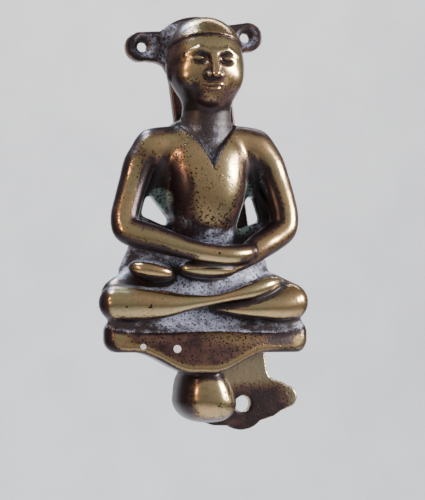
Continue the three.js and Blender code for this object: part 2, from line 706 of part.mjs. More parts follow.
// Turns a geometry's faces outwards where a mapping has turned it inside out
function fixWinding(geometry) {
  const flat = geometry.index ? geometry.toNonIndexed() : geometry;
  const p = flat.attributes.position;
  let volume = 0;
  const corner = (i) => new THREE.Vector3().fromBufferAttribute(p, i);
  for (let i = 0; i < p.count; i += 3) {
    volume += corner(i).dot(corner(i + 1).cross(corner(i + 2)));
  }
  if (volume < 0) {
    for (let i = 0; i < p.count; i += 3) {
      const keep = [p.getX(i + 1), p.getY(i + 1), p.getZ(i + 1)];
      p.setXYZ(i + 1, p.getX(i + 2), p.getY(i + 2), p.getZ(i + 2));
      p.setXYZ(i + 2, ...keep);
    }
  }
  return flat;
}

function makeFigure() {
  const care = ([x, f, z]) => {
    if (z > HEAD_FOOT_Z - 1.5 && f > FACE_BACK_F) return FACE_CARE;
    return z > NECK_V.z - 1 && f > NECK_V.nearest && abs(x) < ROBE_HALF ? ROBE_CARE : 1;
  };
  const cast = solid(skinGeometry(thin(skin(figure, STEPS), FIGURE_TRIANGLES, care)));
  const lug = solid(tongue(FIGURE_LUG_R, LUG_ROOT, -FIGURE_LUG_HALF, FIGURE_LUG_HALF));
  const hole = solid(bar(FIGURE_LUG_HOLE_R, -FIGURE_LUG_HALF - 1, FIGURE_LUG_HALF + 1));
  return geometryOf(cast.add(lug).subtract(hole));
}

function arc(x, z, radius, [from, to], pieces) {
  return Array.from({ length: pieces + 1 }, (_, i) => {
    const a = from + i * (to - from) / pieces;
    return [x + radius * cos(a), z + radius * sin(a)];
  });
}

// Backplate's outline: arched top, round ears, straight bar, pointed side lobes and round foot
function plateShape() {
  const low = (run) => run.map(([x, z]) => [x, FOOT_Z + z]);
  const top = Math.asin(ARCH_HALF / ARCH_R);
  const right = [
    ...arc(0, ARCH_TOP - ARCH_R, ARCH_R, [Math.PI / 2, Math.PI / 2 - top], 7),
    ...arc(EAR_SPAN / 2, 0, EAR_R, EAR_TURN, 16),
    ...EAR_TO_BAR,
    ...low(BAR_TO_LOBE),
    ...low(arc(LOBE.x, LOBE.z, LOBE.r, LOBE.turn, 8)),
    ...low(LOBE_TO_FOOT),
    ...low(arc(0, 0, FOOT_R, FOOT_TURN, 8)),
  ];
  const left = right.slice(1, -1).reverse().map(([x, z]) => [-x, z]);
  return new THREE.Shape([...right, ...left].map(([x, z]) => new THREE.Vector2(x, z)));
}

function plateLayer(shape) {
  const geometry = new THREE.ExtrudeGeometry(shape, { depth: PLATE_THICK, bevelEnabled: false });
  geometry.rotateX(Math.PI / 2);
  return geometry;
}

// Screw hole through the plate, sunk from the front to a wider rim; its cutter stands out past
// both faces
const PAST = 0.5;
function screwHole(x, z, radius, sink) {
  const [rim, deep] = sink;
  const front = PLATE_THICK;
  const profile = [[0, -PAST], [radius, -PAST], [radius, front - deep], [rim, front],
    [rim, front + PAST], [0, front + PAST]];
  const lathe = new THREE.LatheGeometry(profile.map(([r, f]) => new THREE.Vector2(r, f)), CIRCLE_STEPS);
  lathe.rotateX(Math.PI);
  lathe.translate(x, 0, z);
  return solid(fixWinding(lathe));
}

function makePlate() {
  let plate = solid(plateLayer(plateShape()));
  for (const s of [-1, 1]) {
    const near = s * PLATE_LUG_NEAR;
    const far = s * (PLATE_LUG_NEAR + PLATE_LUG_THICK);
    const lug = tongue(PLATE_LUG_R, PLATE_THICK - PAST, min(near, far), max(near, far));
    plate = plate.add(solid(lug));
    plate = plate.subtract(screwHole(s * SCREW_SPAN / 2, 0, SCREW_R, [SINK_R, SINK_DEEP]));
  }
  plate = plate.subtract(solid(bar(PLATE_LUG_HOLE_R, -PIN_HALF - 1, PIN_HALF + 1)));
  const rim = [FOOT_HOLE_R + FOOT_HOLE_RIM, FOOT_HOLE_RIM];
  plate = plate.subtract(screwHole(FOOT_HOLE_X, FOOT_Z, FOOT_HOLE_R, rim));
  return geometryOf(plate);
}

function makePin() {
  return bar(PIN_R, -PIN_HALF, PIN_HALF);
}

function piece(name, geometry, look) {
  const mesh = new THREE.Mesh(geometry, new THREE.MeshStandardMaterial(look));
  mesh.name = name;
  return mesh;
}

// The backplate and its pin are turned in the plate's own plane
const turnedPlate = new THREE.Group();
turnedPlate.add(piece('backplate', makePlate(), OLD_BRASS), piece('hinge_pin', makePin(), PIN_METAL));
turnedPlate.rotation.y = -PLATE_SKEW;

const knocker = new THREE.Group();
knocker.add(turnedPlate, piece('figure', makeFigure(), BRASS));

export default knocker;
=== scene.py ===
# Seated buddha door knocker: the looks. Lengths in the field are millimetres, the scene's are metres.
import math

import bpy
import numpy as np
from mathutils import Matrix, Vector


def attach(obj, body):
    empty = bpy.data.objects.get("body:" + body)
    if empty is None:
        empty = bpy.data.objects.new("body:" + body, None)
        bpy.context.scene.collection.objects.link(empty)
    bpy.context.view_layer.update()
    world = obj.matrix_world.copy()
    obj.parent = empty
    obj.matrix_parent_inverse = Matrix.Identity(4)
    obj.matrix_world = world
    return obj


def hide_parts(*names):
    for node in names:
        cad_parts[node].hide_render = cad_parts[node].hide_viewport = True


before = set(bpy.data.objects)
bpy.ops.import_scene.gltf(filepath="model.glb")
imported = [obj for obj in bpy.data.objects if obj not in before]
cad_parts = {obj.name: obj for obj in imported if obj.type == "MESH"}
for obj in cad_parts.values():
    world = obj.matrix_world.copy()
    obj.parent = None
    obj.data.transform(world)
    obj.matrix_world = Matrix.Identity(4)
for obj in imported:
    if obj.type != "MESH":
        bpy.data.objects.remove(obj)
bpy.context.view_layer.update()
MM = 0.001

# Camera at the photograph's angle: azimuth, elevation, aim in millimetres, distance and focal length
# in picture elements of a frame 500 high
AZIMUTH, ELEVATION = math.radians(-15), math.radians(-3)
AIM = Vector((2.0, -12.0, -52.61))
DISTANCE, FOCAL, FRAME_HIGH = 380.0, 1565.7, 500


def toward(azimuth, elevation):
    """Unit vector from the object towards an azimuth, 0 in front and to the right positive."""
    c = math.cos(elevation)
    return Vector((math.sin(azimuth) * c, -math.cos(azimuth) * c, math.sin(elevation)))


def add_camera():
    data = bpy.data.cameras.new("camera")
    camera = bpy.data.objects.new("camera", data)
    bpy.context.scene.collection.objects.link(camera)
    back = toward(AZIMUTH, ELEVATION)
    camera.location = (AIM + DISTANCE * back) * MM
    camera.rotation_euler = back.to_track_quat("Z", "Y").to_euler()
    data.sensor_width = 36.0
    data.lens = FOCAL / FRAME_HIGH * data.sensor_width
    data.clip_start = 0.01
    bpy.context.scene.camera = camera


add_camera()

# ---- Form of the figure ----
BACK_F, HEAD_BACK_F, HEAD_FOOT_Z, STRIKER_F = 4.6, 9.3, -17.5, 3.1
PIN_F, PIN_R, PIN_HALF = 6.5, 1.0, 6.0
LUG_R, LUG_HALF, LUG_HOLE_R, LUG_ROOT = 2.2, 2.5, 1.5, 12.5
SKULL = ((0, 12.3, -6.4), (9.25, 9.2, 10.1))
JAW = ((0.3, 13.4, -10.3), (8.6, 7.7, 7.8))
CAP_PROUD, HAIRLINE_Z, HAIRLINE_F, HAIRLINE_FALL, HAIRLINE_ARCH = 0.42, -1.1, 21, 0.22, 0.010
EYE_Z, EYE_X, BROW_Z, NOSE_Z, MOUTH_Z, CHIN_Z = -7.4, 3.55, -5.3, -11.2, -13.9, -16.6
FACE_MASSES = [((0, 19.0, MOUTH_Z), (3.3, 1.5, 2.4), 1.6), ((0, 17.6, CHIN_Z + 0.2), (2.9, 2.1, 1.7), 1.8),
               ((4.6, 16.6, -11.2), (3.0, 2.6, 3.0), 1.8)]
EYE_SOCKET = ((EYE_X, 22.3, EYE_Z + 0.1), (2.7, 2.3, 1.7))
BROW = [(1.2, 21.1, BROW_Z - 0.5, 0.5), (3.4, 20.65, BROW_Z + 0.3, 0.5), (6.3, 18.7, BROW_Z - 1.0, 0.4)]
NOSE = [(0, 21.0, BROW_Z - 0.5, 0.75), (0, 21.9, -8.8, 0.85), (0, 22.6, NOSE_Z, 1.1)]
FEATURES = [((EYE_X, 19.0, EYE_Z + 0.2), (2.25, 1.75, 1.15), 0.25),
            ((EYE_X, 18.9, EYE_Z - 0.95), (1.85, 1.45, 0.65), 0.12),
            ((1.35, 21.5, NOSE_Z - 0.2), (0.9, 1.1, 0.8), 0.5),
            ((0.9, 20.3, MOUTH_Z + 0.42), (1.6, 0.85, 0.5), 0.2),
            ((0, 20.2, MOUTH_Z - 0.58), (1.9, 1.0, 0.62), 0.12),
            ((8.7, 12.2, -8.0), (1.0, 2.1, 3.9), 0.7)]
NECK = [(0.7, 11.8, -14, 6.0), (0.7, 10.8, -20, 6.0), (0.7, 10.0, -24.5, 6.5), (0.6, 9.5, -29, 6.5)]
SHOULDERS = [(-12.6, 10.6, -27.7, 3.7), (-7.6, 10.8, -26.4, 3.8), (0.4, 11.0, -26.4, 4.4),
             (8.0, 10.8, -25.8, 3.8), (12.9, 10.6, -27.0, 3.7)]
ARM_LEFT = [(-12.4, 10.6, -28.2, 4.0), (-15.7, 11.0, -31.6, 3.8), (-17.5, 11.3, -36.5, 3.4),
            (-18.9, 11.9, -41.0, 3.25), (-19.9, 12.5, -45.2, 3.25), (-19.5, 13.3, -47.9, 3.3),
            (-16.8, 14.6, -49.3, 3.25), (-13.3, 16.4, -50.3, 3.05), (-9.3, 18.0, -51.7, 2.7),
            (-5.0, 19.3, -53.0, 2.4), (0.0, 20.0, -53.9, 2.2), (4.3, 19.8, -54.1, 2.25),
            (8.0, 18.5, -53.7, 2.2), (9.8, 17.3, -53.0, 1.75)]
ARM_RIGHT = [(12.7, 10.6, -27.5, 4.0), (15.9, 11.0, -30.6, 3.8), (18.0, 11.3, -35.5, 3.45),
             (19.3, 11.9, -40.0, 3.3), (20.0, 12.5, -44.2, 3.25), (19.5, 13.0, -47.2, 3.2),
             (16.6, 14.0, -49.6, 3.1), (13.4, 15.2, -51.5, 3.0), (10.8, 16.0, -53.2, 2.7),
             (7.5, 16.4, -55.2, 2.3), (4.0, 16.6, -56.6, 1.8)]
LEG_LEFT = [(-21.8, 13.2, -65.6, 4.4), (-17.0, 15.3, -65.7, 4.1), (-12.0, 16.9, -65.9, 3.45),
            (-8.6, 17.7, -65.8, 2.65), (-5.5, 18.2, -65.5, 1.95), (1.0, 18.5, -64.7, 1.15),
            (4.6, 18.3, -63.9, 1.3), (7.8, 17.8, -63.1, 1.7), (11.2, 16.9, -62.2, 2.1),
            (14.4, 15.7, -61.1, 2.3), (16.4, 14.8, -60.6, 1.9)]
LEG_RIGHT = [(21.2, 12.7, -65.1, 4.7), (18.3, 14.0, -65.9, 4.0), (14.0, 15.1, -66.4, 3.0),
             (10.0, 15.6, -66.8, 2.1), (6.5, 15.4, -66.9, 1.4), (2.5, 14.4, -66.7, 0.8)]
THIGH_LEFT = [(-10, 8.0, -59.5, 3.0), (-17.5, 8.2, -61.0, 3.8), (-20.9, 9.4, -63.6, 4.0)]
THIGH_RIGHT = [(10, 8.0, -59.8, 3.0), (17.3, 8.4, -61.5, 3.7), (21.4, 9.6, -64.0, 4.1)]
CHEST_F = 6.5
CHEST = [(-20.5, 0.3, 6.5, 14.0), (-24.5, 0.3, 10.0, 16.3), (-28, 0.3, 11.4, 17.9),
         (-31.5, 0.3, 11.4, 18.8), (-35.5, 0.5, 10.9, 19.1), (-39.5, 0.6, 10.2, 18.8),
         (-43, 0.6, 9.3, 18.0), (-46, 0.5, 8.6, 16.9), (-49, 0.5, 7.9, 15.3), (-53, 0.5, 7.0, 12.6)]
CHEST_POWER = 2.35
V_X, V_Z, V_SPREAD, V_FLARE, V_DEEP, V_NEAREST = 0.5, -33.5, 0.36, 0.026, 1.5, 11
WEB_TOP = [(-12.0, -29.0), (13.0, -28.3), (18.3, -45), (-17.3, -45)]
WEB_LOW = [(-14.5, -50), (14.5, -50), (14.5, -62), (-17.4, -62), (-17.4, -57.5), (-15.6, -53.5)]
WEB_TOP_R, WEB_LOW_R, WEB_FRONT_F = 3.4, 2.4, 7.6
WEB_RISE, WEB_RISE_Z = 4.6, (-42, -30)
OPENING_LEFT = [(-12.6, -40.6), (-13.3, -43.4), (-9.0, -45.2)]
OPENING_RIGHT = [(12.9, -40.2), (14.2, -44.3), (10.2, -45.8)]
OPENING_R = 1.15
LAP = ((-0.5, 6.6, -59.0), (18.0, 6.8, 7.4))
HAND = ((-0.4, 16.2, -57.5), (7.2, 4.0, 2.4), -0.02)
HEEL = ((-13.6, 14.4, -57.9), (5.8, 4.4, 2.7), -0.17)
SEAT_AT, SEAT_HALF, SEAT_ROUND = (1.0, 8.0, -67.0), (23.4, 5.2, 6.6), 3.4
PLINTH_X, PLINTH_HALF, PLINTH_TOP, PLINTH_LOW = 0.85, 25.35, -71.3, -77.4
PLINTH_ROUND, PLINTH_WAIST, PLINTH_BEVEL, PLINTH_FRONT, PLINTH_BOW, UNDERCUT = 3.0, 1.8, 2.4, 17.2, 3.6, 0.92
PLINTH_RISE = 1.7
APRON_X, APRON_DEEP, APRON_NEAR, APRON_FAR, APRON_LIP = -1.4, 5.1, 2.4, 16.3, 6.0
KNOB_AT, KNOB_HALF, KNOB_RISE, KNOB_TAPER, KNOB_LEAN, KNOB_POWER = (1.3, 4.9, -88.5), (7.6, 11.3, 6.1), 11, 0.026, -0.14, 2.45
STRIKER_TOP = (-84.5, -82)


def melt(a, b, k):
    h = np.maximum(k - np.abs(a - b), 0) / k
    return np.minimum(a, b) - h * h * k * 0.25


def ease(a, b, k):
    return -melt(-a, -b, k)


def step_between(low, high, value):
    t = np.clip((value - low) / (high - low), 0, 1)
    return t * t * (3 - 2 * t)


def ellipsoid(x, f, z, at, half):
    a, b, c = (x - at[0]) / half[0], (f - at[1]) / half[1], (z - at[2]) / half[2]
    k0 = np.sqrt(a * a + b * b + c * c)
    k1 = np.sqrt((a / half[0]) ** 2 + (b / half[1]) ** 2 + (c / half[2]) ** 2)
    return k0 * (k0 - 1) / np.maximum(k1, 1e-9)


def turned(x, f, z, at, half, roll):
    c, s = math.cos(roll), math.sin(roll)
    dx, dz = x - at[0], z - at[2]
    return ellipsoid(dx * c + dz * s, f, dz * c - dx * s, (0, at[1], 0), half)


def limb(x, f, z, line):
    """Distance to a chain of tapered rods, each point (x, f, z, radius)."""
    best = np.full(np.shape(x), 1e6)
    for a, b in zip(line, line[1:]):
        ex, ef, ez = b[0] - a[0], b[1] - a[1], b[2] - a[2]
        px, pf, pz = x - a[0], f - a[1], z - a[2]
        t = np.clip((px * ex + pf * ef + pz * ez) / (ex * ex + ef * ef + ez * ez), 0, 1)
        far = np.sqrt((px - t * ex) ** 2 + (pf - t * ef) ** 2 + (pz - t * ez) ** 2)
        best = np.minimum(best, far - a[3] - t * (b[3] - a[3]))
    return best


def smooth(rows, pieces):
    """Finer stations of a table along a centripetal curve through its rows."""
    rows = np.array(rows, float)
    out = []
    last = len(rows) - 1
    for i in range(pieces + 1):
        k = min(int(last * i / pieces), last - 1)
        w = last * i / pieces - k
        p1, p2 = rows[k], rows[k + 1]
        p0 = rows[k - 1] if k > 0 else 2 * p1 - p2
        p3 = rows[k + 2] if k + 2 <= last else 2 * p2 - p1
        d0, d1, d2 = (np.sum((q - p) ** 2) ** 0.25 for p, q in ((p0, p1), (p1, p2), (p2, p3)))
        t1 = ((p1 - p0) / d0 - (p2 - p0) / (d0 + d1) + (p2 - p1) / d1) * d1
        t2 = ((p2 - p1) / d1 - (p3 - p1) / (d1 + d2) + (p3 - p2) / d2) * d1
        out.append(p1 + t1 * w + (3 * (p2 - p1) - 2 * t1 - t2) * w ** 2 + (2 * (p1 - p2) + t1 + t2) * w ** 3)
    return np.array(out)


def outline(x, z, corners):
    """Signed distance in a plane to a closed outline."""
    near = np.full(np.shape(x), 1e6)
    inside = np.zeros(np.shape(x), bool)
    for (ax, az), (bx, bz) in zip(corners, corners[1:] + corners[:1]):
        ex, ez, px, pz = bx - ax, bz - az, x - ax, z - az
        t = np.clip((px * ex + pz * ez) / (ex * ex + ez * ez), 0, 1)
        near = np.minimum(near, np.hypot(px - t * ex, pz - t * ez))
        if az != bz:
            inside ^= ((az > z) != (bz > z)) & (x < ax + ex * pz / ez)
    return np.where(inside, -near, near)


def slab(flat, f, front, rounding):
    a, b = flat + rounding, f - front + rounding
    return np.minimum(np.maximum(a, b), 0) + np.hypot(np.maximum(a, 0), np.maximum(b, 0)) - rounding


FINE = {"neck": smooth(NECK, 8), "shoulders": smooth(SHOULDERS, 14), "arm_left": smooth(ARM_LEFT, 70),
        "arm_right": smooth(ARM_RIGHT, 60), "leg_left": smooth(LEG_LEFT, 70), "leg_right": smooth(LEG_RIGHT, 40),
        "chest": smooth(CHEST, 60)[::-1]}


def neckline(x, f, z):
    """Distance inside the V of the neck opening, less than 0 outside it."""
    rise = np.maximum(0, z - V_Z)
    v = 0.85 * (V_SPREAD * rise + V_FLARE * rise * rise - np.abs(x - V_X))
    return np.where((rise > 0) & (f > V_NEAREST), v, -1)


def chest(x, f, z):
    table = FINE["chest"]
    middle, half, front = (np.interp(z, table[:, 0], table[:, i]) for i in (1, 2, 3))
    deep = front - CHEST_F
    a, b = np.abs(x - middle) / half, np.abs(f - CHEST_F) / deep
    far = np.maximum((a ** CHEST_POWER + b ** CHEST_POWER) ** (1 / CHEST_POWER), 0.2)
    steep = np.hypot(a ** (CHEST_POWER - 1) / half, b ** (CHEST_POWER - 1) / deep) * far ** (1 - CHEST_POWER)
    d = (far - 1) / np.maximum(steep, 0.02)
    ends = np.maximum(z - CHEST[0][0], CHEST[-1][0] - z)
    d = melt(ease(d, ends, 2.0), limb(x, f, z, FINE["shoulders"]), 1.6)
    return ease(d, np.minimum(neckline(x, f, z), d + V_DEEP), 0.25)


def web(x, f, z):
    top, low = outline(x, z, WEB_TOP) - WEB_TOP_R, outline(x, z, WEB_LOW) - WEB_LOW_R
    front = WEB_FRONT_F + WEB_RISE * step_between(*WEB_RISE_Z, z)
    return slab(melt(top, low, 3), f, front, 0.9)


def seat(x, f, z):
    q = [np.abs(v - c) - h + SEAT_ROUND for v, c, h in zip((x, f, z), SEAT_AT, SEAT_HALF)]
    out = np.sqrt(sum(np.maximum(v, 0) ** 2 for v in q))
    return out + np.minimum(np.maximum(np.maximum(q[0], q[1]), q[2]), 0) - SEAT_ROUND


def apron(x):
    """How far the plinth's front hangs below its ends."""
    return APRON_DEEP * step_between(APRON_FAR, APRON_NEAR, np.abs(x - APRON_X))


def plinth(x, f, z):
    fore = np.clip((f - BACK_F) / APRON_LIP, 0, 1)
    off = np.abs(x - PLINTH_X)
    top = PLINTH_TOP + PLINTH_RISE * (off / PLINTH_HALF) ** 4
    low = PLINTH_LOW - apron(x) * fore * fore * (3 - 2 * fore)
    side = off + PLINTH_WAIST * (1 - fore) ** 2
    a = side - PLINTH_HALF + PLINTH_ROUND
    b = np.maximum(z - top, (low - z) * UNDERCUT) + PLINTH_ROUND
    flat = np.minimum(np.maximum(a, b), 0) + np.hypot(np.maximum(a, 0), np.maximum(b, 0)) - PLINTH_ROUND
    front = PLINTH_FRONT - PLINTH_BOW * (side / PLINTH_HALF) ** 2
    bevel = (z - top + PLINTH_BEVEL + f - front) / math.sqrt(2) - 1.5 * (off / PLINTH_HALF) ** 6
    edge = 1.3 + 1.5 * step_between(0.82, 1.0, off / PLINTH_HALF)
    return ease(slab(flat, f, front, edge), bevel, 1.6)


def knob(x, f, z):
    """Rounded block between a ball and a box, narrower at the top."""
    swell = np.clip(1 - KNOB_TAPER * (z - KNOB_AT[2] + 1), 0.6, 1)
    lean = KNOB_LEAN * (z - KNOB_AT[2])
    half = KNOB_HALF[0] * swell, KNOB_HALF[1], np.where(z > KNOB_AT[2], KNOB_RISE, KNOB_HALF[2])
    share = [np.abs(v - c) / h for v, c, h in zip((x - lean, f, z), KNOB_AT, half)]
    far = np.maximum(sum(v ** KNOB_POWER for v in share) ** (1 / KNOB_POWER), 0.2)
    steep = np.sqrt(sum((v ** (KNOB_POWER - 1) / h) ** 2 for v, h in zip(share, half))) * far ** (1 - KNOB_POWER)
    return (far - 1) / np.maximum(steep, 0.02)


def hairline(x, f, z):
    """Height above the lower edge of the cap of hair."""
    return z - HAIRLINE_Z + HAIRLINE_FALL * (HAIRLINE_F - f) + HAIRLINE_ARCH * x * x


def head(x, f, z):
    side = np.abs(x)
    skull = ellipsoid(x, f, z, *SKULL)
    d = melt(skull, ellipsoid(x, f, z, *JAW), 2.5)
    for at, half, k in FACE_MASSES:
        d = melt(d, ellipsoid(side, f, z, at, half), k)
    d = ease(d, -ellipsoid(side, f, z, *EYE_SOCKET), 0.9)
    d = melt(d, limb(side, f, z, BROW), 0.7)
    d = melt(d, limb(side, f, z, NOSE), 0.9)
    for at, half, k in FEATURES:
        d = melt(d, ellipsoid(side, f, z, at, half), k)
    return melt(d, ease(skull - CAP_PROUD, -hairline(x, f, z), 0.35), 0.12)


def body(x, f, z):
    arm_left, arm_right = limb(x, f, z, FINE["arm_left"]), limb(x, f, z, FINE["arm_right"])
    d = melt(web(x, f, z), np.minimum(arm_left, arm_right), 3.0)
    d = melt(d, chest(x, f, z), 3.0)
    d = melt(d, np.maximum(limb(x, f, z, FINE["neck"]), z - HEAD_FOOT_Z), 1.2)
    d = melt(d, ellipsoid(x, f, z, *LAP), 2.4)
    d = melt(d, arm_right, 1.2)
    d = melt(d, seat(x, f, z), 1.6)
    d = melt(d, limb(x, f, z, THIGH_LEFT), 1.2)
    d = melt(d, limb(x, f, z, THIGH_RIGHT), 1.2)
    d = melt(d, turned(x, f, z, *HAND), 0.8)
    d = melt(d, turned(x, f, z, *HEEL), 0.8)
    d = melt(d, arm_left, 0.5)
    d = melt(d, limb(x, f, z, FINE["leg_right"]), 1.2)
    d = melt(d, limb(x, f, z, FINE["leg_left"]), 0.8)
    d = melt(d, plinth(x, f, z), 2.6)
    gaps = np.minimum(outline(x, z, OPENING_LEFT), outline(x, z, OPENING_RIGHT)) - OPENING_R
    return ease(ease(d, -gaps, 0.9), BACK_F - f, 0.5)


def figure(p):
    """The figure's field at points (n, 3) of x, f and z."""
    x, f, z = p.T
    d = np.full(len(p), 1e3)
    m = z > -24
    q = x[m], f[m], z[m]
    d[m] = ease(melt(head(*q), limb(*q, FINE["neck"]), 2.0), HEAD_BACK_F - q[1], 0.5)
    m = (z > -90) & (z < -10)
    q = x[m], f[m], z[m]
    d[m] = np.minimum(d[m], body(*q))
    m = z < -78
    q = x[m], f[m], z[m]
    back = STRIKER_F + (BACK_F - STRIKER_F) * step_between(*STRIKER_TOP, q[2])
    d[m] = melt(d[m], ease(knob(*q), back - q[1], 0.6), 0.5)
    m = (z > -6) & (f < 16)
    q = x[m], f[m], z[m]
    tongue = np.hypot(np.minimum(q[1] - PIN_F, 0) + np.maximum(q[1] - LUG_ROOT, 0), q[2]) - LUG_R
    lug = ease(tongue, np.abs(q[0]) - LUG_HALF, 0.5)
    hole = LUG_HOLE_R - np.hypot(q[1] - PIN_F, q[2])
    d[m] = melt(d[m], ease(lug, hole, 0.4), 0.6)
    return d


# ---- Form of the backplate, drawn upright before it is turned by its skew ----
PLATE_SKEW = math.radians(7.6)
PLATE_THICK, PLATE_ROUND = 2.8, 0.55
ARCH_TOP, ARCH_R, ARCH_HALF = 6.2, 14.3, 8.6
EAR_SPAN, EAR_R, EAR_TURN = 28.0, 3.6, (1.75, -1.8)
EAR_TO_BAR = [(10.2, -4.2), (8.65, -5.2), (7.85, -7.2), (7.55, -9.6)]
FOOT_Z = -91.2
BAR_TO_LOBE = [(7.55, 7.2), (8.05, 5.8), (9.25, 4.7), (11.15, 3.9)]
LOBE_X, LOBE_Z, LOBE_R, LOBE_TURN = 11.8, 0.2, 2.7, (1.25, -1.5)
LOBE_TO_FOOT = [(9.8, -3.1), (7.8, -4.1)]
FOOT_R, FOOT_TURN = 6.3, (-0.84, -math.pi / 2)
FOOT_HOLE_X, FOOT_HOLE_R, FOOT_HOLE_RIM = 0.35, 2.0, 0.4
SCREW_SPAN, SCREW_R, SINK_R, SINK_DEEP = 26.8, 1.2, 2.2, 1.4
PLATE_LUG_R, PLATE_LUG_MIDDLE, PLATE_LUG_HALF, PLATE_LUG_HOLE_R = 2.15, 4.4, 1.1, 1.08


def arc(x, z, radius, turn, pieces):
    steps = np.linspace(turn[0], turn[1], pieces + 1)
    return [(x + radius * math.cos(a), z + radius * math.sin(a)) for a in steps]


def plate_outline():
    top = math.asin(ARCH_HALF / ARCH_R)
    low = (BAR_TO_LOBE + arc(LOBE_X, LOBE_Z, LOBE_R, LOBE_TURN, 8) + LOBE_TO_FOOT
           + arc(0, 0, FOOT_R, FOOT_TURN, 8))
    right = (arc(0, ARCH_TOP - ARCH_R, ARCH_R, (math.pi / 2, math.pi / 2 - top), 7)
             + arc(EAR_SPAN / 2, 0, EAR_R, EAR_TURN, 16) + EAR_TO_BAR + [(x, z + FOOT_Z) for x, z in low])
    return right + [(-x, z) for x, z in right[-2:0:-1]]


PLATE_EDGE = plate_outline()


def sunk_hole(x, f, z, at, radius, rim, deep):
    r = np.hypot(x - at[0], z - at[1])
    cone = (r - radius - (f - PLATE_THICK + deep) * (rim - radius) / deep) * deep / math.hypot(deep, rim - radius)
    return np.minimum(r - radius, cone)


def plate(p):
    x, f, z = p.T
    side = np.abs(x)
    flat = outline(x, z, PLATE_EDGE)
    flat = melt(flat, flat + 0.01, 0.5)
    d = slab(flat, f, PLATE_THICK, PLATE_ROUND)
    tongue = np.hypot(np.maximum(f - PIN_F, 0), z) - PLATE_LUG_R
    lug = ease(ease(tongue, np.abs(side - PLATE_LUG_MIDDLE) - PLATE_LUG_HALF, 0.5), 1 - f, 0.1)
    d = melt(d, ease(lug, PLATE_LUG_HOLE_R - np.hypot(f - PIN_F, z), 0.2), 0.8)
    d = ease(d, -sunk_hole(side, f, z, (SCREW_SPAN / 2, 0), SCREW_R, SINK_R, SINK_DEEP), 0.5)
    foot = sunk_hole(x, f, z, (FOOT_HOLE_X, FOOT_Z), FOOT_HOLE_R, FOOT_HOLE_R + FOOT_HOLE_RIM, FOOT_HOLE_RIM)
    d = ease(d, -foot, 0.3)
    return ease(d, -f, 0.3)


# ---- Surface of a field ----
def lines(*stretches):
    """Grid marks over stretches given as from, step, ..., last."""
    marks = []
    for start, step, end in zip(stretches[::2], stretches[1::2], stretches[2::2]):
        marks.append(np.linspace(start, end, int(round((end - start) / step)), endpoint=False))
    return np.concatenate(marks + [[stretches[-1]]])


def spread(grid, values, rough):
    """Values on a rough grid carried to a finer one, an axis at a time."""
    for axis in range(3):
        at = np.interp(grid[axis], rough[axis], np.arange(len(rough[axis])))
        low = np.minimum(at.astype(int), len(rough[axis]) - 2)
        w = (at - low).reshape([-1 if i == axis else 1 for i in range(3)])
        values = np.take(values, low, axis) * (1 - w) + np.take(values, low + 1, axis) * w
    return values


def places(grid):
    return np.stack(np.meshgrid(*grid, indexing="ij"), -1).reshape(-1, 3)


def sample(field, grid, band):
    """Field on a grid, worked out exactly only near the surface."""
    rough = [np.append(axis[::4], axis[-1] + 1e-3) for axis in grid]
    value = spread(grid, field(places(rough)).reshape([len(a) for a in rough]), rough).ravel()
    near = np.abs(value) < band
    value[near] = field(places(grid)[near])
    return value.reshape([len(a) for a in grid])


def surface(field, grid, band):
    """Closed skin of quads on the zero of a field: one point per cell that the surface crosses."""
    value = sample(field, grid, band)
    inside = value < 0
    shape = np.array(value.shape) - 1
    corners = [np.array(c) for c in np.ndindex(2, 2, 2)]
    count = sum(inside[tuple(slice(o, o + n) for o, n in zip(c, shape))].astype(int) for c in corners)
    cells = np.argwhere((count > 0) & (count < 8))
    number = np.full(shape, -1)
    number[tuple(cells.T)] = np.arange(len(cells))
    total, hits = np.zeros((len(cells), 3)), np.zeros(len(cells))
    axes = [np.asarray(a) for a in grid]
    for a in corners:
        for axis in range(3):
            if a[axis]:
                continue
            b = a + np.eye(3, dtype=int)[axis]
            ia, ib = (cells + a).T, (cells + b).T
            va, vb = value[tuple(ia)], value[tuple(ib)]
            crossed = (va < 0) != (vb < 0)
            t = np.where(crossed, va / np.where(crossed, va - vb, 1), 0)
            pa = np.stack([axes[k][ia[k]] for k in range(3)], 1)
            pb = np.stack([axes[k][ib[k]] for k in range(3)], 1)
            total += (pa + t[:, None] * (pb - pa)) * crossed[:, None]
            hits += crossed
    points = total / hits[:, None]
    quads = []
    for axis in range(3):
        u, v = (axis + 1) % 3, (axis + 2) % 3
        low = [slice(0, n) for n in shape]
        low[u], low[v] = slice(1, shape[u]), slice(1, shape[v])
        high = list(low)
        high[axis] = slice(1, shape[axis] + 1)
        a, b = inside[tuple(low)], inside[tuple(high)]
        at = np.argwhere(a != b)
        at[:, u] += 1
        at[:, v] += 1
        eu, ev = np.eye(3, dtype=int)[u], np.eye(3, dtype=int)[v]
        ring = [number[tuple((at - e).T)] for e in (eu + ev, ev, 0 * eu, eu)]
        quad = np.stack(ring, 1)
        outward = inside[tuple(at.T)]
        quad[~outward] = quad[~outward][:, ::-1]
        quads.append(quad)
    return points, np.concatenate(quads)


def slope(field, p, step):
    g = np.stack([field(p + e) - field(p - e) for e in np.eye(3) * step], 1)
    return g / (2 * step)


def settle(field, points):
    """Points moved onto the surface, and the smooth normals there."""
    for _ in range(2):
        g = slope(field, points, 0.02)
        move = field(points)[:, None] * g / np.maximum((g ** 2).sum(1), 0.2)[:, None]
        points = points - np.clip(move, -0.3, 0.3)
    g = slope(field, points, 0.3)
    return points, g / np.maximum(np.linalg.norm(g, axis=1), 1e-6)[:, None]


def openness(field, points, normals, reaches):
    """How open the surface lies to the front of it: 1 on bulges, less in hollows."""
    return [np.clip(field(points + normals * r) / r, -1, 1.2) for r in reaches]


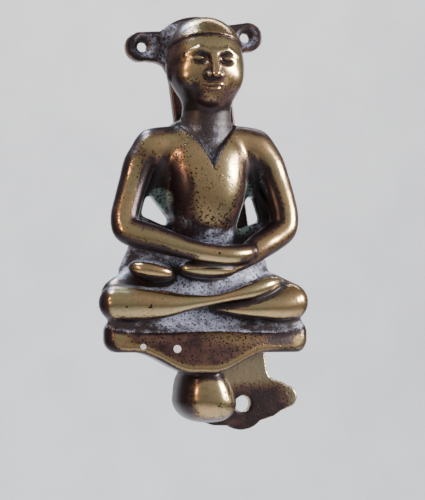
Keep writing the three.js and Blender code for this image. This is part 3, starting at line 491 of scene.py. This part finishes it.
def make_mesh(name, points, quads, normals, masks):
    """Mesh object from field places; masks are values at the points, kept as attributes."""
    turn = np.array([[1, 0, 0], [0, -1, 0], [0, 0, 1]])
    mesh = bpy.data.meshes.new(name)
    mesh.from_pydata([], [], [])
    mesh.vertices.add(len(points))
    mesh.vertices.foreach_set("co", (points @ turn * MM).ravel())
    flipped = quads[:, ::-1]
    mesh.loops.add(flipped.size)
    mesh.loops.foreach_set("vertex_index", flipped.ravel())
    mesh.polygons.add(len(flipped))
    mesh.polygons.foreach_set("loop_start", np.arange(0, flipped.size, 4))
    mesh.update(calc_edges=True)
    mesh.polygons.foreach_set("use_smooth", np.ones(len(flipped), bool))
    mesh.normals_split_custom_set_from_vertices((normals @ turn).tolist())
    for key, values in masks.items():
        mesh.attributes.new(key, "FLOAT", "POINT").data.foreach_set("value", values.astype(np.float32))
    made = bpy.data.objects.new(name, mesh)
    bpy.context.scene.collection.objects.link(made)
    return made


def spot(p, at, half):
    """1 in the middle of a soft round region of the front, 0 outside it."""
    r = np.sqrt(((p[:, 0] - at[0]) / half[0]) ** 2 + ((p[:, 2] - at[1]) / half[1]) ** 2)
    return 1 - step_between(0.5, 1.0, r)


def high_forms(x, f, z):
    """Nearest of the forms that a hand touches."""
    arms = np.minimum(limb(x, f, z, FINE["arm_left"]), limb(x, f, z, FINE["arm_right"]))
    legs = np.minimum(limb(x, f, z, FINE["leg_left"]), limb(x, f, z, FINE["leg_right"]))
    hands = np.minimum(turned(x, f, z, *HAND), turned(x, f, z, *HEEL))
    rest = np.minimum(np.minimum(chest(x, f, z), plinth(x, f, z)), knob(x, f, z))
    skull = np.where(z > -22, head(x, f, z), 9)
    return np.minimum(np.minimum(np.minimum(arms, legs), np.minimum(hands, rest)), skull)


def low_forms(x, f, z):
    """Nearest of the forms that lie back."""
    low = np.minimum(np.minimum(web(x, f, z), seat(x, f, z)), ellipsoid(x, f, z, *LAP))
    return np.minimum(low, limb(x, f, z, FINE["neck"]))


def make_figure():
    grid = [lines(-27.6, 0.6, -25.6, 0.46, -10, 0.36, 10, 0.46, 26, 0.6, 28), lines(2.2, 0.46, 7.0, 0.44, 24.6),
            lines(-96.0, 0.46, -19, 0.34, 5.4)]
    points, quads = surface(figure, grid, 1.6)
    points, normals = settle(figure, points)
    near, middle, far, wide = openness(figure, points, normals, (0.7, 1.6, 3.5, 7.0))
    x, f, z = points.T
    front, up = normals[:, 1], normals[:, 2]
    open_all = 0.25 * near + 0.25 * middle + 0.3 * far + 0.2 * wide
    on_head = step_between(-19, -17.5, z)
    open_all = open_all + on_head * 0.6 * np.maximum(near - open_all, 0)
    lead = np.clip(low_forms(x, f, z) - high_forms(x, f, z), -3, 3)
    lead -= 3 * step_between(-0.35, 0.1, neckline(x, f, z)) * (z < -19)
    on_arms = step_between(-57, -54, z) * (1 - on_head)
    # Sides turned away from the front stay brown: patina on the steep sides, and painted shade at the edges, wider on
    # the arms.
    facing = front + (0.15 + 0.3 * on_head - 0.15 * on_arms * step_between(0, 0.6, lead)) * np.maximum(up, 0)
    on_knob = step_between(-83, -85, z)
    folded = spot(points, (HEEL[0][0], HEEL[0][2]), (9, 4)) + spot(points, (HAND[0][0], HAND[0][2]), (11, 4))
    on_legs = step_between(-58, -60, z) * step_between(-71.5, -70.5, z)
    facing = facing + (0.35 * on_knob + 0.25 * on_legs + 0.3 * folded) * np.maximum(-up, 0)
    turned_away = 0.5 + (facing - 0.64 - 0.1 * on_arms + 0.24 * on_head) / (0.55 + 0.15 * on_head)
    hollow = 0.5 + (open_all - 0.80) / (0.22 + 0.16 * on_head)
    polish_and_shading = np.minimum(np.minimum(turned_away, hollow), 0.5 + lead / 1.6)
    polish_and_shading = np.clip(polish_and_shading, -0.5, 1.3) + 0.3 * folded * step_between(-0.5, 0.3, lead)
    polish_and_shading -= 0.5 * step_between(0.8, 0.5, near) * (1 - on_head)
    # Painted shade: undersides are darkened, less on the knob, the legs and the folded hands.
    polish_and_shading -= (0.45 - 0.3 * on_knob - 0.3 * np.maximum(on_legs, folded)) * step_between(-0.15, -0.7, up)
    apart = np.abs(limb(x, f, z, FINE["arm_left"]) - limb(x, f, z, FINE["arm_right"]))
    polish_and_shading -= 0.9 * step_between(0.6, 0.15, apart) * step_between(5.5, 7, x) * step_between(-58, -57, z)
    aside = normals[:, 0]
    # Painted shade: sides facing left are darkened on the knob, the head, and the legs and plinth.
    polish_and_shading -= 0.36 * on_knob * step_between(-0.3, -0.85, aside)
    polish_and_shading -= 0.3 * np.maximum(step_between(-58, -60, z) * (1 - on_knob), on_head) * step_between(-0.25, -0.8, aside)
    polish_and_shading -= 0.4 * step_between(-73.6, -72.4, z) * step_between(-71, -71.6, z)
    polish_and_shading -= 1.3 * step_between(0.0, 0.65, -np.sign(x) * aside) * step_between(12, 14, np.abs(x)) * on_arms
    polish_and_shading -= 0.42 * step_between(0.35, 0.85, up) * on_arms
    inner_arm = step_between(-18.6, -15.4, x) * step_between(-12.5, -13.5, x) * step_between(-27, -31, z)
    polish_and_shading -= 0.5 * inner_arm * step_between(-48, -45, z)
    # Painted shade: the chest's left-facing flank is darkened, more towards the waist.
    flank = step_between(-0.15, -0.7, aside) * step_between(-28, -31, z) * step_between(-51, -47, z)
    polish_and_shading -= (0.12 + 0.28 * step_between(-35, -43, z)) * flank * (np.abs(x) < 11)
    belly = spot(points, (-9, -47.3), (4.5, 2.6)) + spot(points, (-3, -49.6), (6, 2.8)) + spot(points, (3, -50.4), (7, 3))
    polish_and_shading -= 0.5 * belly
    polish_and_shading -= 0.5 * spot(points, (-6.6, -38), (3, 6))
    polish_and_shading -= 0.3 * on_head * step_between(0, 0.6, hairline(x, f, z))
    polish_and_shading -= 0.3 * step_between(20, 25, np.abs(x - PLINTH_X)) * step_between(-70, -71, z)
    lip = z - PLINTH_LOW + apron(x)
    face = step_between(-70.5, -72.5, z) * step_between(1.2, 2.6, lip) * step_between(23, 18, np.abs(x - PLINTH_X))
    worn = 0.39 - 0.1 * spot(points, (-6, -78.5), (17, 6)) + 0.17 * spot(points, (7, -74), (11, 3.4))
    polish_and_shading = polish_and_shading * (1 - face) + np.minimum(polish_and_shading, worn) * face
    polish_and_shading -= 0.4 * step_between(9, 21, x - PLINTH_X) * step_between(-70, -71, z)
    polish_and_shading += 0.9 * spot(points, (24.6, -75.2), (3.2, 2.8)) * step_between(0.2, 0.5, front)
    deposit = np.maximum(0.5 - (lead + 0.35) / 2.0, 0.5 + (0.80 - open_all) / 0.35)
    deposit *= step_between(-0.35, 0.25, front + 0.4 * up) * (1 - 0.7 * on_head) * step_between(-85, -82, z)
    deposit *= 1 - 0.8 * step_between(-72.2, -73.2, z)
    deposit += 0.45 * belly
    collar = np.maximum(spot(points, (6, -24.5), (7, 6)), spot(points, (-4.5, -24.5), (5, 4.5)))
    deposit *= 1 - 0.75 * step_between(-29, -24, z) * (1 - 0.8 * collar)
    channel = spot(points, (2, -61), (19, 4.5)) + 1.2 * step_between(-66.5, -68.5, z) + spot(points, (3, -50), (8, 4))
    channel += 0.6 * collar * (z < -19) + 0.05 * belly
    # Painted sheen on the dust: lighter on top-facing parts and in the lap channel, cove, collar and under the chest,
    # darker in creases, on the neck, on the plinth and beside the raised forms.
    painted_sheen = 0.2 + 0.4 * up + 0.4 * channel - 0.35 * step_between(-28, -24, z) - 0.6 * step_between(0.95, 0.6, near)
    painted_sheen -= 0.55 * step_between(-70.3, -72.6, z) * step_between(26, 16, np.abs(x - PLINTH_X))
    painted_sheen -= 0.5 * step_between(-1.6, -0.3, lead) * step_between(-56, -58, z) * step_between(-67.5, -65.5, z)
    seen = step_between(-0.5, -0.2, front)
    masks = {
        "polish_and_shading": polish_and_shading,
        "deposit": deposit,
        "painted_sheen": painted_sheen,
        "green": seen * (spot(points, (10.2, -42), (5, 9)) * step_between(14.5, 11.5, f) + 0.7 * spot(points, (-11, -41), (4, 5)) + 0.6 * spot(points, (-14.2, -43.6), (2.6, 3.4))),
        "pitted": spot(points, (3, -39), (14, 13)) + 0.4 * spot(points, (14, -75), (12, 6)) + 1.3 * spot(points, (6, -90), (6, 6)),
    }
    return make_mesh("figure_cast", points, quads, normals, masks)


def make_plate():
    grid = [lines(-19, 0.42, 19), lines(-0.5, 0.4, 9.3), lines(-99, 0.42, 8)]
    points, quads = surface(plate, grid, 1.6)
    points, normals = settle(plate, points)
    near, middle, far = openness(plate, points, normals, (0.7, 1.6, 3.5))
    c, s = math.cos(PLATE_SKEW), math.sin(PLATE_SKEW)
    swing = np.array([[c, 0, s], [0, 1, 0], [-s, 0, c]])
    x, f, z = points.T
    front = normals[:, 1]
    seen = step_between(-0.2, 0.2, front)
    stem = seen * step_between(-72, -78, z) * step_between(-90.5, -83.5, z)
    around_hole = spot(points, (FOOT_HOLE_X, FOOT_Z), (6, 6))
    patches = seen * step_between(9, 14, np.abs(x)) * step_between(-86, -88, z)
    holes = spot(points, (SCREW_SPAN / 2, 0), (4.5, 4.0)) + spot(points, (-SCREW_SPAN / 2, 0), (4.5, 4.0))
    rims = step_between(0.95, 0.7, front) * step_between(-0.7, -0.3, front)
    # Rims are rubbed bright; lower down the right rims are brighter and the left ones browner, a painted highlight and
    # painted shade.
    polish_and_shading = 0.9 * stem + 0.75 * patches + (0.4 + 0.4 * step_between(-20, -30, z) * np.sign(x)) * rims - 0.2 * around_hole
    polish_and_shading += 0.1 * step_between(-20, -30, z)
    masks = {
        "polish_and_shading": polish_and_shading,
        "deposit": 0.22 + 0.4 * spot(points, (-4, -1), (13, 8)) + 0.45 * holes + 0.5 * step_between(0.95, 0.8, far),
        # Painted sheen on the dust, lighter on top-facing parts.
        "painted_sheen": 0.3 + 0.4 * normals[:, 2],
        "green": 0 * z,
        "pitted": 0.3 * stem + 0.5 * patches,
    }
    return make_mesh("backplate_cast", points @ swing, quads, normals @ swing, masks)


cast = make_figure()
board = make_plate()
print("TRIS", 2 * len(cast.data.polygons), 2 * len(board.data.polygons))
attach(cast, "knocker")
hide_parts("figure")
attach(board, "plate")
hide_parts("backplate")

# ---- Materials ----
class Nodes:
    """Small shorthand for building a node tree; a value may be a number, a colour or another socket."""

    def __init__(self, name):
        self.material = bpy.data.materials.new(name)
        self.material.use_nodes = True
        self.tree = self.material.node_tree
        self.shader = self.tree.nodes["Principled BSDF"]
        place = self.tree.nodes.new("ShaderNodeTexCoord").outputs["Object"]
        self.place = self.vector("SCALE", place, scale=1 / MM)

    def put(self, node, key, value):
        socket = node.inputs[key]
        if isinstance(value, bpy.types.NodeSocket):
            self.tree.links.new(value, socket)
        else:
            socket.default_value = value

    def vector(self, operation, a, b=None, scale=None, out="Vector"):
        node = self.tree.nodes.new("ShaderNodeVectorMath")
        node.operation = operation
        self.put(node, 0, a)
        if b is not None:
            self.put(node, 1, b)
        if scale is not None:
            self.put(node, "Scale", scale)
        return node.outputs[out]

    def math(self, operation, a, b=0.0, c=0.0, clamp=False):
        node = self.tree.nodes.new("ShaderNodeMath")
        node.operation = operation
        node.use_clamp = clamp
        for key, value in enumerate((a, b, c)):
            self.put(node, key, value)
        return node.outputs[0]

    def add(self, *values):
        total = values[0]
        for value in values[1:]:
            total = self.math("ADD", total, value)
        return total

    def times(self, a, b):
        return self.math("MULTIPLY", a, b)

    def mask(self, name):
        node = self.tree.nodes.new("ShaderNodeAttribute")
        node.attribute_name = name
        return node.outputs["Fac"]

    def noise(self, size, detail=3.0, rough=0.55, warp=0.0, stretch=None):
        """Noise of features about size millimetres across, evened out around 0.5."""
        node = self.tree.nodes.new("ShaderNodeTexNoise")
        place = self.place if stretch is None else self.vector("MULTIPLY", self.place, stretch)
        self.put(node, "Vector", place)
        self.put(node, "Scale", 1 / size)
        self.put(node, "Detail", detail)
        self.put(node, "Roughness", rough)
        self.put(node, "Distortion", warp)
        return node.outputs["Fac"]

    def cells(self, size, feature="F1", randomness=1.0, out="Distance"):
        node = self.tree.nodes.new("ShaderNodeTexVoronoi")
        node.feature = feature
        self.put(node, "Vector", self.place)
        self.put(node, "Scale", 1 / size)
        self.put(node, "Randomness", randomness)
        return node.outputs[out]

    def centred(self, value, scale):
        return self.times(self.math("SUBTRACT", value, 0.5), scale)

    def dot(self, at, radii, soft):
        """1 inside a small ellipsoid about a place in millimetres, 0 outside it."""
        away = self.vector("SUBTRACT", self.place, at)
        away = self.vector("MULTIPLY", away, tuple(1 / r for r in radii))
        return self.ramp(self.vector("LENGTH", away, out="Value"), 1 - soft, 1 + soft, 1.0, 0.0)

    def ramp(self, value, low, high, out_low=0.0, out_high=1.0, kind="SMOOTHSTEP"):
        node = self.tree.nodes.new("ShaderNodeMapRange")
        node.interpolation_type = kind
        for key, v in zip(("Value", "From Min", "From Max", "To Min", "To Max"), (value, low, high, out_low, out_high)):
            self.put(node, key, v)
        return node.outputs["Result"]

    def blend(self, share, a, b):
        """Colour or number between a and b."""
        node = self.tree.nodes.new("ShaderNodeMix")
        node.data_type = "FLOAT" if isinstance(a, float) else "RGBA"
        first = 2 if isinstance(a, float) else 6
        self.put(node, 0, share)
        self.put(node, first, a)
        self.put(node, first + 1, b)
        return node.outputs[0 if isinstance(a, float) else 2]

    def mix_numbers(self, share, a, b):
        return self.add(self.times(share, b), self.times(self.math("SUBTRACT", 1.0, share), a))

    def bump(self, height, strength, distance):
        node = self.tree.nodes.new("ShaderNodeBump")
        self.put(node, "Strength", strength)
        self.put(node, "Distance", distance * MM)
        self.put(node, "Height", height)
        return node.outputs["Normal"]

    def finish(self, **sockets):
        for key, value in sockets.items():
            self.put(self.shader, key.replace("_", " "), value)
        return self.material


def rgb(r, g, b):
    """Linear colour from display values 0 to 255."""
    return tuple(((v / 255 + 0.055) / 1.055) ** 2.4 if v > 10 else v / 255 / 12.92 for v in (r, g, b)) + (1.0,)




def aged_brass(name, pale, warm, marks=()):
    """Cast brass, rubbed bright where the polish mask is high and brown below; that mask also carries painted shade and
    painted highlight. Its hollows hold dust under a painted silvery sheen.
    """
    n = Nodes(name)
    blotch, patch, grain, fine = n.noise(9, 3), n.noise(3.2, 4), n.noise(0.9, 4, 0.7), n.noise(0.3, 3, 0.7)
    ragged = n.add(n.centred(patch, 0.55), n.centred(grain, 0.6), n.centred(fine, 1.3))
    polish_and_shading = n.mask("polish_and_shading")
    gold = n.ramp(n.add(polish_and_shading, ragged), 0.38, 0.62)
    grey = n.ramp(n.add(n.mask("deposit"), n.times(ragged, 0.8)), 0.5, 0.8)
    grey = n.times(grey, n.math("SUBTRACT", 1.0, gold))
    green = n.times(n.ramp(n.add(n.mask("green"), n.times(ragged, 0.8)), 0.4, 0.75), n.ramp(polish_and_shading, 0.75, 0.35))

    brass = n.blend(n.ramp(blotch, 0.35, 0.65), pale, warm)
    brass = n.blend(n.ramp(grain, 0.4, 0.75, 0.0, 0.45), brass, rgb(122, 98, 66))
    brass = n.blend(n.ramp(n.add(polish_and_shading, n.centred(grain, 0.5)), 0.9, 0.4, 0.0, 0.75), brass, rgb(118, 90, 62))
    # The brown darkens where the polish mask is lowest, so it carries that mask's painted shade too.
    deep = n.times(n.ramp(polish_and_shading, -0.3, 0.35, -1.0, 0.3, "LINEAR"), 0.18)
    brown = n.blend(n.ramp(n.add(n.times(patch, 0.6), n.times(blotch, 0.4), deep), 0.38, 0.62), rgb(42, 28, 30), rgb(82, 56, 52))
    # Dust runs from dark grey-brown to a pale bluish silver by a painted sheen, a painted reflection of the sky.
    painted_sheen = n.ramp(n.add(n.mask("painted_sheen"), n.centred(patch, 1.3), n.centred(grain, 0.9)), 0.05, 0.75)
    dust_and_sheen = n.blend(painted_sheen, rgb(56, 45, 46), rgb(174, 178, 201))
    specks = n.ramp(n.add(n.times(fine, 1.0), n.times(grain, 0.2), n.times(painted_sheen, 0.04)), 0.53, 0.61, 1.0, 0.0)
    dust_and_sheen = n.blend(n.times(specks, 0.75), dust_and_sheen, rgb(40, 32, 33))
    colour = n.blend(grey, n.blend(gold, brown, brass), dust_and_sheen)
    colour = n.blend(n.times(green, 0.8), colour, rgb(158, 180, 168))

    # Black pits, thicker near the edge of the polished parts, and a few part rings
    reach = n.add(n.ramp(polish_and_shading, 1.15, 0.5, 0.01, 0.31), n.centred(grain, 0.7), n.times(n.mask("pitted"), 0.1))
    pits = n.ramp(n.math("SUBTRACT", n.cells(0.75), reach), -0.05, 0.05, 1.0, 0.0)
    ring = n.math("ABSOLUTE", n.math("SUBTRACT", n.cells(2.6), 0.26))
    rings = n.times(n.times(n.ramp(ring, 0.03, 0.06, 1.0, 0.0), n.ramp(grain, 0.5, 0.56)), n.mask("pitted"))
    pits = n.math("MAXIMUM", pits, rings)
    for at, radius in marks:
        pits = n.math("MAXIMUM", pits, n.dot(at, radius, 0.2))
    colour = n.blend(n.times(pits, 0.92), colour, rgb(32, 25, 24))

    metal = n.mix_numbers(grey, n.mix_numbers(gold, 0.5, 1.0), 0.3)
    rough = n.mix_numbers(grey, n.mix_numbers(gold, 0.29, n.ramp(grain, 0.3, 0.7, 0.15, 0.25)), 0.48)
    height = n.add(n.times(grain, 0.45), n.times(fine, 0.35), n.times(pits, -0.4))
    return n, colour, metal, rough, height


def figure_brass():
    """Aged brass with two dots of white paint on the plinth, a nick on the leg and a scratch on the cap."""
    nicks = [((-15.2, -20.0, -66.7), (0.55, 9, 0.22)), ((-15.0, -20.0, -66.4), (0.2, 9, 0.5)),
             ((-3.9, -17.0, 1.5), (0.13, 9, 0.95)), ((0.2, -20.0, -57.45), (2.7, 6, 0.2)),
             ((1.0, -22.0, -53.9), (0.3, 4, 0.34)), ((-20.5, -17.0, -66.6), (0.3, 6, 0.2))]
    n, colour, metal, rough, height = aged_brass("figure_brass", rgb(172, 155, 115), rgb(186, 154, 112), nicks)
    edge = n.vector("DOT_PRODUCT", n.place, (0, HAIRLINE_FALL, 1), out="Value")
    across = n.vector("DOT_PRODUCT", n.place, (1, 0, 0), out="Value")
    edge = n.add(edge, n.times(n.times(across, across), HAIRLINE_ARCH), HAIRLINE_FALL * HAIRLINE_F - HAIRLINE_Z)
    groove = n.ramp(n.math("ABSOLUTE", n.math("ADD", edge, 0.06)), 0.07, 0.2, 0.85, 0.0)
    groove = n.times(groove, n.ramp(across, 9.6, 9.0))
    colour = n.blend(groove, colour, rgb(36, 26, 24))
    height = n.add(height, n.times(groove, -1.5))
    paint = n.math("MAXIMUM", n.dot((-15.9, -15.0, -76.0), (0.7, 5, 0.7), 0.08), n.dot((-7.9, -16.5, -76.5), (0.92, 5, 0.92), 0.08))
    colour = n.blend(paint, colour, n.blend(n.noise(0.5, 3), rgb(206, 196, 200), rgb(226, 220, 222)))
    return n.finish(Base_Color=colour, Metallic=n.mix_numbers(paint, metal, 0.0),
                    Roughness=n.mix_numbers(paint, rough, 0.6), Normal=n.bump(height, 0.35, 0.08))


def plate_brass(name):
    """The same brass, paler, with fine upright scratches."""
    n, colour, metal, rough, height = aged_brass(name, rgb(164, 152, 126), rgb(172, 152, 124))
    scratch = n.ramp(n.noise(0.22, 2, stretch=(1, 1, 0.05)), 0.56, 0.68, 0.0, 0.4)
    colour = n.blend(scratch, colour, rgb(78, 68, 58))
    return n.finish(Base_Color=colour, Metallic=metal, Roughness=n.add(rough, 0.06), Normal=n.bump(height, 0.45, 0.1))


for made, material in ((cast, figure_brass()), (board, plate_brass("plate_brass")),
                       (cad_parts["hinge_pin"], plate_brass("pin_brass"))):
    made.data.materials.clear()
    made.data.materials.append(material)

def add_world():
    """Dim room, brightest at eye level to the front and right, warmer to the left."""
    world = bpy.data.worlds.new("studio")
    bpy.context.scene.world = world
    world.use_nodes = True
    n = Nodes.__new__(Nodes)
    n.tree = world.node_tree
    way = n.vector("NORMALIZE", n.tree.nodes.new("ShaderNodeTexCoord").outputs["Generated"])
    side = n.vector("DOT_PRODUCT", way, (0.2, -0.98, 0.0), out="Value")
    height = n.vector("DOT_PRODUCT", way, (0.0, 0.0, 1.0), out="Value")
    level = n.ramp(n.math("ABSOLUTE", n.math("SUBTRACT", height, 0.35)), 0.2, 0.95, 1.0, 0.0)
    viewer = n.vector("DOT_PRODUCT", way, (-0.26, -0.965, -0.05), out="Value")
    share = n.times(n.times(level, n.ramp(side, -0.6, 1.0, 0.12, 1.0)), n.ramp(viewer, 0.75, 0.97, 1.0, 0.68))
    background = n.tree.nodes["Background"]
    n.put(background, "Color", n.blend(n.ramp(side, -0.8, 0.3), rgb(198, 192, 188), rgb(204, 204, 208)))
    n.put(background, "Strength", n.ramp(share, 0.0, 1.0, 0.3, 1.0, "LINEAR"))


add_world()


def add_sweep():
    """Pale floor that curves up into a backdrop behind the object."""
    floor_z, bend, wall_y, front_y, wall_top = -0.6, 0.6, 1.3, -1.6, 0.45
    left_x, right_x = -0.9, 1.3
    profile = [(front_y, floor_z), (wall_y - bend, floor_z)]
    for i in range(1, 17):
        a = math.pi / 2 * i / 16
        profile.append((wall_y - bend + bend * math.sin(a), floor_z + bend * (1 - math.cos(a))))
    profile.append((wall_y, wall_top))
    verts = [(x, y, z) for y, z in profile for x in (left_x, right_x)]
    faces = [(2 * i, 2 * i + 1, 2 * i + 3, 2 * i + 2) for i in range(len(profile) - 1)]
    mesh = bpy.data.meshes.new("sweep")
    mesh.from_pydata(verts, [], faces)
    mesh.polygons.foreach_set("use_smooth", [True] * len(faces))
    made = bpy.data.objects.new("sweep", mesh)
    bpy.context.scene.collection.objects.link(made)
    n = Nodes("sweep_paper")
    grain = n.ramp(n.noise(60, 4), 0.3, 0.7)
    mesh.materials.append(n.finish(Base_Color=n.blend(grain, rgb(206, 206, 208), rgb(214, 214, 215)), Roughness=0.9))


add_sweep()


def light(name, at, toward_place, size, power, colour):
    """Soft rectangular light at a place, facing another place, both in metres."""
    data = bpy.data.lights.new(name, "AREA")
    data.shape = "RECTANGLE"
    data.size, data.size_y = size
    data.energy = power
    data.color = colour
    made = bpy.data.objects.new(name, data)
    bpy.context.scene.collection.objects.link(made)
    made.location = at
    made.rotation_euler = (Vector(at) - Vector(toward_place)).to_track_quat("Z", "Y").to_euler()


def around(azimuth, elevation, distance):
    """Place at a distance from the middle of the object."""
    return MIDDLE + distance * toward(math.radians(azimuth), math.radians(elevation))


MIDDLE = Vector((0, -0.01, -0.05))
light("right", around(66, 12, 0.7), MIDDLE, (0.3, 0.2), 13, (1, 0.99, 0.97))
light("window", around(-155, 58, 0.8), MIDDLE, (0.22, 0.3), 9, (0.68, 0.83, 1))
light("sky", around(-95, 62, 0.7), MIDDLE, (0.3, 0.2), 7, (0.68, 0.83, 1))
light("high_lamp", around(-64, 22, 0.6), MIDDLE, (0.05, 0.05), 0.7, (1, 0.6, 0.32))
light("low_lamp", around(-60, 1, 0.6), MIDDLE, (0.04, 0.06), 0.7, (1, 0.6, 0.32))
light("backdrop", (0.3, 0.45, 0.75), (0.35, 1.3, -0.1), (0.9, 0.3), 16, (1, 1, 1))
